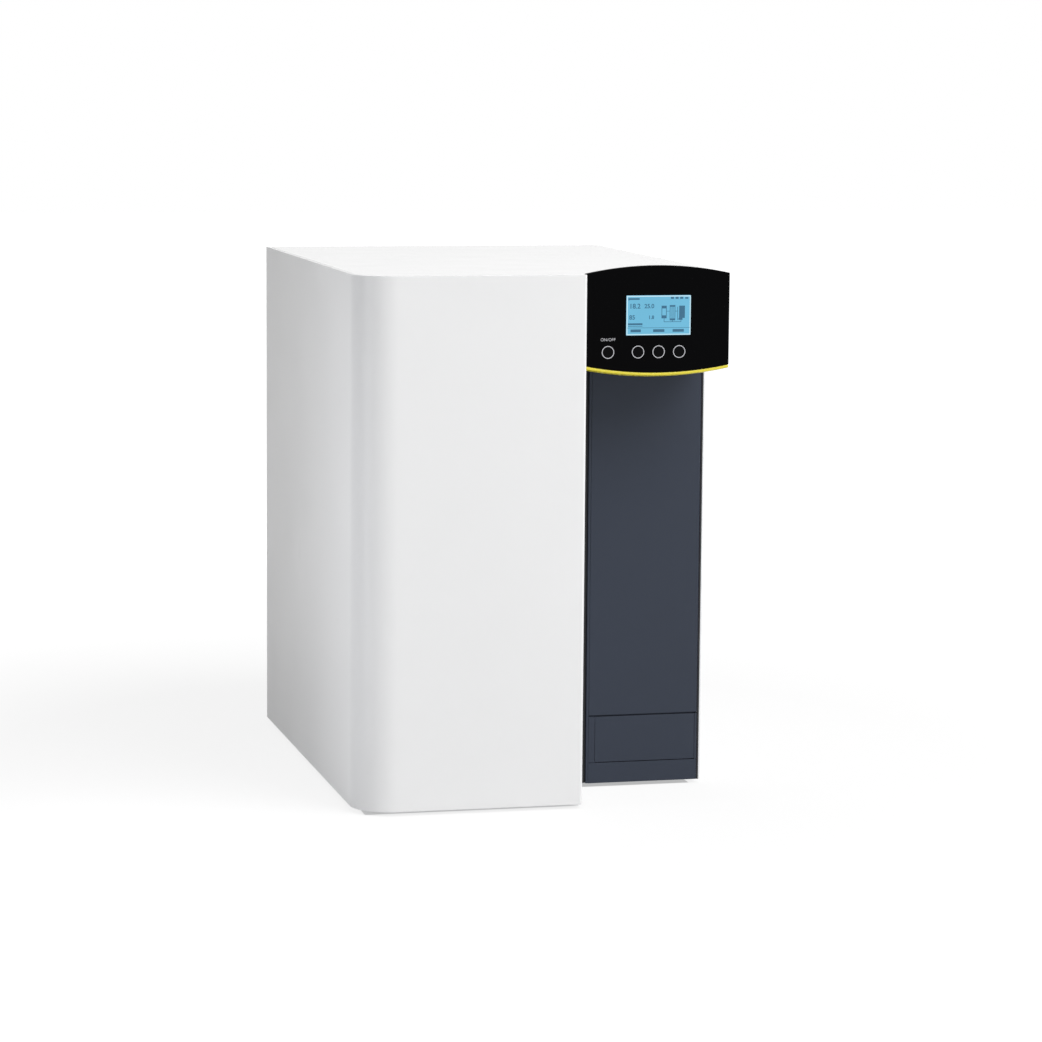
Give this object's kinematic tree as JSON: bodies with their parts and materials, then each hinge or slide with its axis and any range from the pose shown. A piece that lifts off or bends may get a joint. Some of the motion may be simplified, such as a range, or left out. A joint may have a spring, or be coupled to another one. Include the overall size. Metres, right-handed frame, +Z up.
{
  "type": "ultrapure water system",
  "caption": "Bench-top ultrapure water system: white cabinet with a wrap-round door, recessed dark column and black display head.",
  "frame": {"origin": "middle of the footprint, on the bench", "axes": "+X right seen from the front, +Y to the back, +Z up"},
  "size_m": [0.36, 0.5, 0.5125],
  "materials": {
    "white_shell": "satin moulded",
    "white_steel": "powder coated",
    "galvanised_steel": "galvanised",
    "rubber": "matt",
    "bright_steel": "zinc plated",
    "magnet_black": "matt",
    "column_dark": "satin moulded",
    "head_black": "satin",
    "fascia_gloss": "gloss",
    "accent_yellow": "gloss",
    "display": "backlit",
    "key_black": "satin",
    "circuit_board": "solder mask",
    "cartridge_white": "moulded",
    "moulded_grey": "moulded",
    "vessel_white": "extruded",
    "membrane": "wound",
    "stainless": "brushed",
    "black_plastic": "moulded",
    "quartz": "clear",
    "cast_brass": "cast",
    "motor_enamel": "enamelled",
    "tubing": "drawn"
  },
  "bodies": {
    "cabinet": {"accent_strip": "accent_yellow", "base_plate": "galvanised_steel", "column_cover": "column_dark", "column_frame": "column_dark", "column_plinth": "column_dark", "conductivity_cells": "moulded_grey", "controller_board": "circuit_board", "data_port": "stainless", "door_catches": "magnet_black", "feed_tube": "tubing", "flush_valve": "cast_brass", "head_board": "circuit_board", "head_fascia": "fascia_gloss", "head_shell": "head_black", "hinge_pins": "bright_steel", "housing_screws": "bright_steel", "inlet_valve": "cast_brass", "lcd_module": "display", "leak_sensor": "moulded_grey", "mains_inlet": "black_plastic", "partition_wall": "white_steel", "permeate_tube": "tubing", "polishing_socket": "moulded_grey", "polishing_tube": "tubing", "power_supply": "stainless", "pressure_regulator": "moulded_grey", "pressure_tube": "tubing", "pretreatment_socket": "moulded_grey", "product_tube": "tubing", "pump_bracket": "motor_enamel", "pump_head": "cast_brass", "pump_motor": "motor_enamel", "pump_tube": "tubing", "rear_panel": "white_steel", "recess_tub": "column_dark", "right_side_panel": "white_shell", "ro_caps": "moulded_grey", "ro_membrane": "membrane", "ro_vessel": "vessel_white", "rubber_feet": "rubber", "sanitising_port": "moulded_grey", "top_cover": "white_shell", "top_plate": "galvanised_steel", "uv_caps": "black_plastic", "uv_housing": "stainless", "uv_lamp": "quartz", "vessel_clips": "moulded_grey", "wall_nuts": "bright_steel", "water_ports": "moulded_grey"},
    "door": {"door_shell": "white_shell", "door_strikers": "galvanised_steel"},
    "standby_key": {"key_standby": "key_black"},
    "left_key": {"key_left": "key_black"},
    "middle_key": {"key_middle": "key_black"},
    "right_key": {"key_right": "key_black"},
    "flap": {"service_flap": "column_dark"},
    "rocker": {"mains_rocker": "black_plastic"},
    "pretreatment": {"pretreatment_cartridge": "cartridge_white"},
    "polisher": {"polishing_cartridge": "cartridge_white"},
    "pump_rotor": {"pump_shaft": "bright_steel"}
  },
  "joints": [
    {"name": "door_hinge", "type": "hinge", "parent": "cabinet", "child": "door", "pos_m": [-0.1745, 0.2475, 0.25], "axis": [0, 0, -1], "range_deg": [0, 100]},
    {"name": "flap_hinge", "type": "hinge", "parent": "cabinet", "child": "flap", "pos_m": [0.1237, -0.1552, 0.0263], "axis": [1, 0, 0], "range_deg": [0, 90]},
    {"name": "rocker_tilt", "type": "hinge", "parent": "cabinet", "child": "rocker", "pos_m": [0.13, 0.237, 0.109], "axis": [-1, 0, 0], "range_deg": [0, 16]},
    {"name": "pretreatment_twist", "type": "hinge", "parent": "cabinet", "child": "pretreatment", "pos_m": [-0.095, -0.16, 0.2], "axis": [0, 0, 1], "range_deg": [0, 90]},
    {"name": "polisher_twist", "type": "hinge", "parent": "cabinet", "child": "polisher", "pos_m": [-0.095, 0.12, 0.2], "axis": [0, 0, 1], "range_deg": [0, 90]},
    {"name": "pump_spin", "type": "hinge", "parent": "cabinet", "child": "pump_rotor", "pos_m": [0.112, 0.065, 0.062], "axis": [0, 1, 0], "continuous": true},
    {"name": "standby_key_press", "type": "slide", "parent": "cabinet", "child": "standby_key", "axis": [0, 1, 0], "range_m": [0, 0.0005], "stiffness_N_per_m": 800},
    {"name": "left_key_press", "type": "slide", "parent": "cabinet", "child": "left_key", "axis": [0, 1, 0], "range_m": [0, 0.0005], "stiffness_N_per_m": 800},
    {"name": "middle_key_press", "type": "slide", "parent": "cabinet", "child": "middle_key", "axis": [0, 1, 0], "range_m": [0, 0.0005], "stiffness_N_per_m": 800},
    {"name": "right_key_press", "type": "slide", "parent": "cabinet", "child": "right_key", "axis": [0, 1, 0], "range_m": [0, 0.0005], "stiffness_N_per_m": 800}
  ]
}
